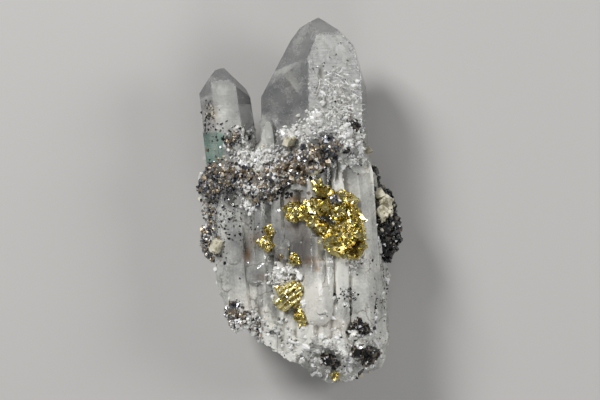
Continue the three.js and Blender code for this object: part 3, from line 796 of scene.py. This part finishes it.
# Where the galena is tarnished brown, and where quartz points have grown on it.
TARNISHED = [
    (-1.0, 8.6, 4.2, 2.6, 1.0),
    (-9.0, 6.0, 2.6, 2.6, 0.6),
    (-19.0, 7.6, 2.6, 2.0, 0.5),
    (-14.0, -33.0, 4.0, 4.0, 1.0),
]
QUARTZ_GROWS = [
    (-10.0, 10.8, 5.0, 1.3, 2.0),
    (-11.6, 9.6, 3.0, 1.8, 0.6),
    (-13.0, 2.4, 3.0, 1.4, 1.0),
    (-5.6, 5.8, 1.4, 2.6, 0.6),
    (-14.0, -34.0, 4.0, 3.4, 1.6),
    (-21.6, -8.6, 1.6, 1.6, 0.8),
]
chance = np.random.default_rng(6)
belt_mesh = together(belt_base, overgrown(CUBE_CUT_AT_CORNERS, belt_base, 1100, (0.35, 1.6), chance))
groups_mesh = together(
    group_base,
    overgrown(CUBE_CUT_AT_CORNERS, group_base, 420, (0.35, 1.2), chance),
    strewn(CUBE_CUT_AT_CORNERS, STRAY_GALENA, 600, (0.3, 1.0), (0.8, 1.2), 2.0, chance),
    overgrown(CUBE_CUT_AT_CORNERS, quartz_surface, 110, (0.35, 1.3), chance, on_flanks(92)),
)
galena_belt = mesh_piece("galena_belt", *belt_mesh)
galena_groups = mesh_piece("galena_groups", *groups_mesh)
for piece, mesh in ((galena_belt, belt_mesh), (galena_groups, groups_mesh)):
    keep(piece, brown=np.clip(0.15 + share_of(mesh[0], TARNISHED), 0, 1))
quartz_on_top = mesh_piece(
    "quartz_points_on_galena",
    *overgrown(
        QUARTZ_POINT, together(belt_base, group_base), 520, (0.3, 1.15), chance,
        lambda p, way: share_of(p, QUARTZ_GROWS) * rise(way[:, 2], -0.3, 0.3),
    ),
)
quartz_on_top.data.materials.append(white_quartz)
galena, where = new_material("galena, cleaved and tarnished, shade painted in hollows")
shade = node(galena, "ShaderNodeAttribute", {"attribute_name": "shade"}).outputs["Fac"]
patchy = node(galena, "ShaderNodeTexNoise", Vector=where, Scale=900.0, Detail=3.0)  # 1.1 mm
steps = node(galena, "ShaderNodeTexNoise", Vector=where, Scale=2600.0, Detail=2.0)  # 0.4 mm
brown = node(galena, "ShaderNodeAttribute", {"attribute_name": "brown"}).outputs["Fac"]
# tarnish and painted shade: the noise and the brown patches are tarnish, and the shade kept in the mesh
# darkens the hollows between facets as painted shade
tarnish_and_shade = node(
    galena, "ShaderNodeMath", {"operation": "MULTIPLY_ADD"}, i0=patchy.outputs["Fac"], i1=0.8,
    i2=node(
        galena, "ShaderNodeMath", {"operation": "MULTIPLY_ADD"}, i0=brown, i1=0.4,
        i2=node(
            galena, "ShaderNodeMath", {"operation": "MULTIPLY_ADD"}, i0=shade, i1=0.7, i2=-0.4
        ).outputs[0],
    ).outputs[0],
).outputs[0]
SHADE_AND_DULL_TO_BROWN = [(0.0, "#3a3b3f"), (0.3, "#83858a"), (0.5, "#b8b6b1"), (0.72, "#a99a83"), (0.95, "#6c5f50")]
surface = node(
    galena, "ShaderNodeBsdfPrincipled", Metallic=1.0,
    Base_Color=node(
        galena, "ShaderNodeValToRGB", {"stops": SHADE_AND_DULL_TO_BROWN}, Fac=tarnish_and_shade
    ).outputs["Color"],
    Roughness=node(
        galena, "ShaderNodeValToRGB", {"stops": [(0.2, 0.24), (0.8, 0.55)]}, Fac=tarnish_and_shade
    ).outputs["Color"],
    Normal=node(
        galena, "ShaderNodeBump", Strength=0.3, Distance=0.00015, Height=steps.outputs["Fac"]
    ).outputs["Normal"],
)
node(galena, "ShaderNodeOutputMaterial", Surface=surface.outputs[0])
for piece, nodes in ((galena_belt, BELT), (galena_groups, GROUPS)):
    piece.data.materials.append(galena)
    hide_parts(*nodes)


# Chalcopyrite: brass-yellow crystals with a metal's shine, grown into crumpled masses with sharp facets,
# made in the same way. The large one is bent round a hollow; a striped lump, whose stripes are ridges, a
# bud and smaller grains sit to its left and below. Their hollows are brown, partly tarnish and partly
# painted shade, their ridges are painted paler as highlights, and the grooves between the stripes are
# darkened with painted shade.

GOLD = ["chalcopyrite_large"]
STRIPED = ["chalcopyrite_lower"]
SMALL_GOLD = ["chalcopyrite_bud", "chalcopyrite_left", "chalcopyrite_small", "chalcopyrite_foot"]
STRIPE = 1.5  # mm from one growth layer of the striped lump to the next
ACROSS_STRIPES = [0.6, -0.8, 0.1]
gold_base = crumpled(GOLD, 1.1, 0.8, 31)
small_gold_base = crumpled(SMALL_GOLD, 0.55, 0.3, 32)
lump_points, lump_triangles = evenly_cut(*grid_of(*STRIPED), 0.22)
_, _, lump_out = facing(lump_points, lump_triangles)
layer = (lump_points @ ACROSS_STRIPES / STRIPE) % 1
ridge = rise(layer, 0.0, 0.35) * (1 - rise(layer, 0.75, 1.0))
lump_points += lump_out * (0.35 * ridge - 0.05 + 0.15 * noise(lump_points, 2.6, 33))[:, None]
# painted shade: the grooves between the stripes get a low shade and turn dark brown; the ridges keep the
# bright brass
painted_groove_shade = 0.12 + 0.88 * ridge
# Where small grains lie on the quartz.
SCATTERED_GOLD = [
    (-2.0, 7.6, 4.0, 1.6, 1.0),
    (-9.0, 4.4, 2.4, 2.4, 0.6),
    (-11.6, -9.6, 1.6, 1.2, 0.5),
    (-4.6, -13.6, 1.4, 1.4, 0.6),
    (-20.0, 6.0, 3.0, 2.4, 0.4),
    (12.6, 22.4, 0.6, 0.8, 0.3),
]
# Where the large mass is granular; elsewhere its facets are broad.
GRANULAR = [
    (11.5, -8.0, 4.0, 4.6, 1.0),
    (-1.6, -3.0, 3.4, 2.4, 1.0),
    (5.5, 1.6, 3.4, 3.4, 0.5),
    (12.0, -1.0, 2.4, 4.0, 0.5),
]
# Where it is dulled brown.
DULLED = [(14.0, -12.4, 2.4, 2.6, 1.0), (5.4, 0.8, 2.2, 2.8, 0.45), (5.6, -5.0, 1.8, 1.8, 0.6)]
chance = np.random.default_rng(7)
gold_crystals = overgrown(
    CUT_TETRAHEDRON, gold_base, 900, (0.2, 0.85), chance,
    lambda p, way: (share_of(p, GRANULAR) + 0.06) * upwards(p, way),
)
gold_points, gold_triangles, gold_shade = together(gold_base, gold_crystals)
gold_shade = gold_shade - 0.7 * share_of(gold_points, DULLED)
gold = mesh_piece("chalcopyrite_mass", gold_points, gold_triangles, np.clip(gold_shade, 0, 1))
small_gold = mesh_piece(
    "chalcopyrite_grains",
    *together(
        small_gold_base,
        overgrown(CUT_TETRAHEDRON, small_gold_base, 160, (0.3, 0.9), chance),
        strewn(CUT_TETRAHEDRON, SCATTERED_GOLD, 90, (0.3, 0.75), (0.8, 1.3), 2.0, chance),
    ),
)
striped_lump = mesh_piece("chalcopyrite_striped_lump", lump_points, lump_triangles, painted_groove_shade, crease=50)
brassy, where = new_material("chalcopyrite, bright with brown tarnish and painted shade")
shade = node(brassy, "ShaderNodeAttribute", {"attribute_name": "shade"}).outputs["Fac"]
patchy = node(
    brassy, "ShaderNodeTexNoise", Vector=where, Scale=500.0, Detail=4.0, Roughness=0.65
)  # 2 mm
# tarnish and painted light: the noise and the dulled patches are tarnish; the shade kept in the mesh darkens
# the hollows, partly as tarnish and partly as painted shade, darkens the striped lump's grooves as painted
# shade, and paints the ridges paler as highlight
tarnish_and_shade = node(
    brassy, "ShaderNodeMath", {"operation": "MULTIPLY_ADD"}, i0=shade, i1=0.7,
    i2=node(brassy, "ShaderNodeMath", {"operation": "ADD"}, i0=patchy.outputs["Fac"], i1=-0.35).outputs[0],
).outputs[0]
fine = node(brassy, "ShaderNodeTexNoise", Vector=where, Scale=2200.0, Detail=2.0)  # 0.5 mm
surface = node(
    brassy, "ShaderNodeBsdfPrincipled", Metallic=1.0,
    Base_Color=node(
        brassy, "ShaderNodeValToRGB",
        {"stops": [(0.12, "#524120"), (0.32, "#b69f4c"), (0.55, "#dac87a"), (0.8, "#f1e5ac")]}, Fac=tarnish_and_shade,
    ).outputs["Color"],
    Roughness=node(
        brassy, "ShaderNodeValToRGB", {"stops": [(0.35, 0.16), (0.7, 0.38)]}, Fac=fine.outputs["Fac"]
    ).outputs["Color"],
    Normal=node(
        brassy, "ShaderNodeBump", Strength=0.25, Distance=0.0001, Height=fine.outputs["Fac"]
    ).outputs["Normal"],
)
node(brassy, "ShaderNodeOutputMaterial", Surface=surface.outputs[0])
for piece, nodes in ((gold, GOLD), (small_gold, SMALL_GOLD), (striped_lump, STRIPED)):
    piece.data.materials.append(brassy)
    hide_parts(*nodes)


# Sphalerite: near-black, resinous, glittering crystals in a mass on the right flank, as grains on the
# foot, the tall crystal and the sides, as fine specks on the quartz, and as a brown variety on the belt.
# Masses and larger grains are crumpled solids with crystals on them.

FLANK = ["sphalerite_right"]
DARK_GRAINS = [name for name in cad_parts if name.startswith("sphalerite_") and name not in FLANK]
flank_base = crumpled(FLANK, 0.65, 0.6, 41)
grain_base = crumpled(DARK_GRAINS, 0.5, 0.25, 42)
# Where black grains and fine specks lie.
BLACK_GRAINS = [
    (-7.4, 2.0, 2.8, 1.7, 2.4),
    (-1.6, 5.4, 3.2, 0.9, 1.6),
    (4.0, 8.0, 1.6, 1.0, 0.6),
    (-16.6, 16.0, 3.2, 1.6, 0.5),
    (9.8, 12.4, 1.6, 1.6, 0.5),
    (-15.0, -31.0, 3.4, 3.2, 0.8),
]
SPECKS = [
    (-18.6, -2.0, 4.0, 7.0, 1.3),
    (-12.2, -7.5, 2.8, 3.0, 0.7),
    (-22.6, 20.5, 1.5, 3.2, 1.6),
    (-14.0, -33.0, 4.4, 3.6, 1.6),
    (-16.5, 16.5, 3.6, 2.6, 1.0),
    (12.0, -23.4, 2.3, 1.4, 1.4),
    (14.5, 14.5, 3.6, 3.4, 0.8),
    (7.0, 33.0, 4.0, 8.0, 0.16),
    (-6.6, -19.0, 1.4, 3.4, 0.6),
    (14.0, -16.6, 1.4, 1.8, 1.4),
    (13.0, -38.0, 6.0, 5.0, 0.5),
    (-2.6, -19.6, 2.4, 1.4, 0.9),
    (-10.0, 8.0, 6.0, 3.0, 0.9),
    (20.0, -26.0, 2.0, 10.0, 0.4),
    (-4.0, -30.0, 8.0, 8.0, 0.08),
]
chance = np.random.default_rng(8)
flank = mesh_piece(
    "sphalerite_mass",
    *together(flank_base, overgrown(CUT_TETRAHEDRON, flank_base, 520, (0.5, 1.8), chance, everywhere)),
)
dark_grains = mesh_piece(
    "sphalerite_grains",
    *together(
        grain_base,
        overgrown(CUT_TETRAHEDRON, grain_base, 180, (0.3, 0.95), chance),
        overgrown(
            CUT_TETRAHEDRON, group_base, 260, (0.2, 0.7), chance,
            lambda p, way: patch(p, -15, -32, 3.4, 3.4) * rise(way[:, 2], -0.3, 0.3),
        ),
        strewn(CUT_TETRAHEDRON, BLACK_GRAINS, 340, (0.4, 1.2), (0.8, 1.3), 2.0, chance),
        strewn(CUT_TETRAHEDRON, SPECKS, 2000, (0.14, 0.7), (0.8, 1.6), 2.0, chance),
        overgrown(CUT_TETRAHEDRON, quartz_surface, 320, (0.2, 0.9), chance, on_flanks(93)),
    ),
)
resin_black, where = new_material("sphalerite, black and resinous")
shade = node(resin_black, "ShaderNodeAttribute", {"attribute_name": "shade"}).outputs["Fac"]
patchy = node(resin_black, "ShaderNodeTexNoise", Vector=where, Scale=450.0, Detail=3.0)  # 2.2 mm
surface = node(
    resin_black, "ShaderNodeBsdfPrincipled",
    # the top stops make a few crystals grey-brown, and on the crumpled solids they paint the sharpest ridges
    # lighter as a painted highlight
    Base_Color=node(
        resin_black, "ShaderNodeValToRGB",
        {"stops": [(0.6, "#0b0a08"), (0.88, "#1d1915"), (0.98, "#6a6152")]}, Fac=shade,
    ).outputs["Color"],
    Roughness=node(
        resin_black, "ShaderNodeValToRGB", {"stops": [(0.4, 0.06), (0.7, 0.25)]}, Fac=patchy.outputs["Fac"]
    ).outputs["Color"],
    IOR=1.9,
)
node(resin_black, "ShaderNodeOutputMaterial", Surface=surface.outputs[0])
for piece, nodes in ((flank, FLANK), (dark_grains, DARK_GRAINS)):
    piece.data.materials.append(resin_black)
    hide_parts(*nodes)

BROWN_GRAINS = [
    (-1.0, 8.6, 4.4, 1.9, 1.0),
    (-8.4, 5.4, 3.0, 2.6, 0.8),
    (-18.6, 7.6, 3.6, 2.2, 0.7),
    (3.0, 3.0, 4.0, 3.0, 0.2),
]
brown_grains = mesh_piece(
    "sphalerite_brown_grains",
    *together(
        overgrown(CUT_TETRAHEDRON, belt_base, 420, (0.3, 0.85), chance),
        strewn(CUT_TETRAHEDRON, BROWN_GRAINS, 240, (0.3, 1.0), (0.8, 1.3), 2.0, chance),
    ),
)
resin_brown, where = new_material("sphalerite, brown and resinous")
shade = node(resin_brown, "ShaderNodeAttribute", {"attribute_name": "shade"}).outputs["Fac"]
surface = node(
    resin_brown, "ShaderNodeBsdfPrincipled",
    Base_Color=node(
        resin_brown, "ShaderNodeValToRGB",
        {"stops": [(0.0, "#3f3833"), (0.5, "#786d64"), (1.0, "#a3988b")]}, Fac=shade,
    ).outputs["Color"],
    Roughness=0.25, IOR=2.37,
)
node(resin_brown, "ShaderNodeOutputMaterial", Surface=surface.outputs[0])
brown_grains.data.materials.append(resin_brown)


# Dolomite: cream rhombs with slightly rough pearly faces, two to four millimetres across, their solids
# hardly crumpled, with smaller ones beside them, on the belt, the left edge and the black mass.

CREAM = [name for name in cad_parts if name.startswith("dolomite_")]
cream_base = crumpled(CREAM, 0.9, 0.08, 51)
SMALL_RHOMBS = [
    (-2.5, 11.0, 3.4, 2.4, 1.0),
    (-10.0, 5.0, 3.0, 3.0, 0.8),
    (-18.5, 9.0, 3.0, 1.8, 0.5),
    (-22.0, 22.5, 1.0, 2.0, 0.6),
]
chance = np.random.default_rng(9)
rhombs = mesh_piece(
    "dolomite_rhombs",
    *together(
        cream_base,
        overgrown(RHOMB, cream_base, 70, (0.5, 1.3), chance, everywhere),
        overgrown(RHOMB, flank_base, 100, (0.4, 1.2), chance, everywhere),
        strewn(RHOMB, SMALL_RHOMBS, 150, (0.35, 1.1), (0.8, 1.2), 2.0, chance),
        overgrown(RHOMB, quartz_surface, 22, (0.6, 1.6), chance, on_flanks(94)),
    ),
)
cream, where = new_material("dolomite, pearly")
patchy = node(cream, "ShaderNodeTexNoise", Vector=where, Scale=600.0, Detail=4.0)  # 1.7 mm
surface = node(
    cream, "ShaderNodeBsdfPrincipled", Roughness=0.42,
    Base_Color=node(
        cream, "ShaderNodeValToRGB",
        {"stops": [(0.35, "#8f8871"), (0.5, "#c9c3ab"), (0.7, "#e6e2d2")]}, Fac=patchy.outputs["Fac"],
    ).outputs["Color"],
    Normal=node(
        cream, "ShaderNodeBump", Strength=0.4, Distance=0.0002, Height=patchy.outputs["Fac"]
    ).outputs["Normal"],
)
node(cream, "ShaderNodeOutputMaterial", Surface=surface.outputs[0])
rhombs.data.materials.append(cream)
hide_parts(*CREAM)

# Floor, light and camera: a plain pale floor under the specimen, which lies on its back, soft lamps
# from the upper left, the right and below, and the camera looking straight down at the face.

FLOOR_SIZE = 3.0
FLOOR_GAP = 0.00005  # m between the floor and the specimen
bpy.ops.mesh.primitive_plane_add(size=FLOOR_SIZE, location=(0, 0, -FLOOR_GAP))
floor = bpy.context.object
floor.name = "floor"
paper, _ = new_material("pale paper, matt")
matt = node(paper, "ShaderNodeBsdfPrincipled", Base_Color=linear("#bfbdba"), Roughness=0.9)
node(paper, "ShaderNodeOutputMaterial", Surface=matt.outputs[0])
floor.data.materials.append(paper)


def lamp(name, at, size, power):
    """A square area lamp that looks at the middle of the specimen; at and size in m, power in W."""
    data = bpy.data.lights.new(name, "AREA")
    data.energy, data.size = power, size
    made = bpy.data.objects.new(name, data)
    bpy.context.collection.objects.link(made)
    made.location = at
    made.rotation_euler = (-made.location).to_track_quat("-Z", "Y").to_euler()


lamp("softbox_upper_left", (-0.38, 0.42, 0.46), 0.22, 4.6)
lamp("softbox_right", (0.5, 0.1, 0.35), 0.25, 1.4)
lamp("softbox_low", (0.05, -0.5, 0.3), 0.2, 0.7)
world = bpy.data.worlds.new("studio")
bpy.context.scene.world = world
world.use_nodes = True
world.node_tree.nodes["Background"].inputs["Color"].default_value = linear("#c8ccd2")
world.node_tree.nodes["Background"].inputs["Strength"].default_value = 0.22

LENS, SENSOR = 200.0, 36.0  # mm
PHOTO_WIDTH = 0.150  # m that the picture spans at the middle of the specimen's depth
HALF_DEPTH = 0.015
camera_data = bpy.data.cameras.new("camera")
camera_data.lens, camera_data.sensor_width = LENS, SENSOR
camera_data.clip_start, camera_data.clip_end = 0.05, 10.0
camera = bpy.data.objects.new("camera", camera_data)
bpy.context.collection.objects.link(camera)
camera.location = (-MIDDLE[0] * MM, -MIDDLE[1] * MM, HALF_DEPTH + PHOTO_WIDTH * LENS / SENSOR)
bpy.context.scene.camera = camera
bpy.context.scene.view_settings.view_transform = "Standard"
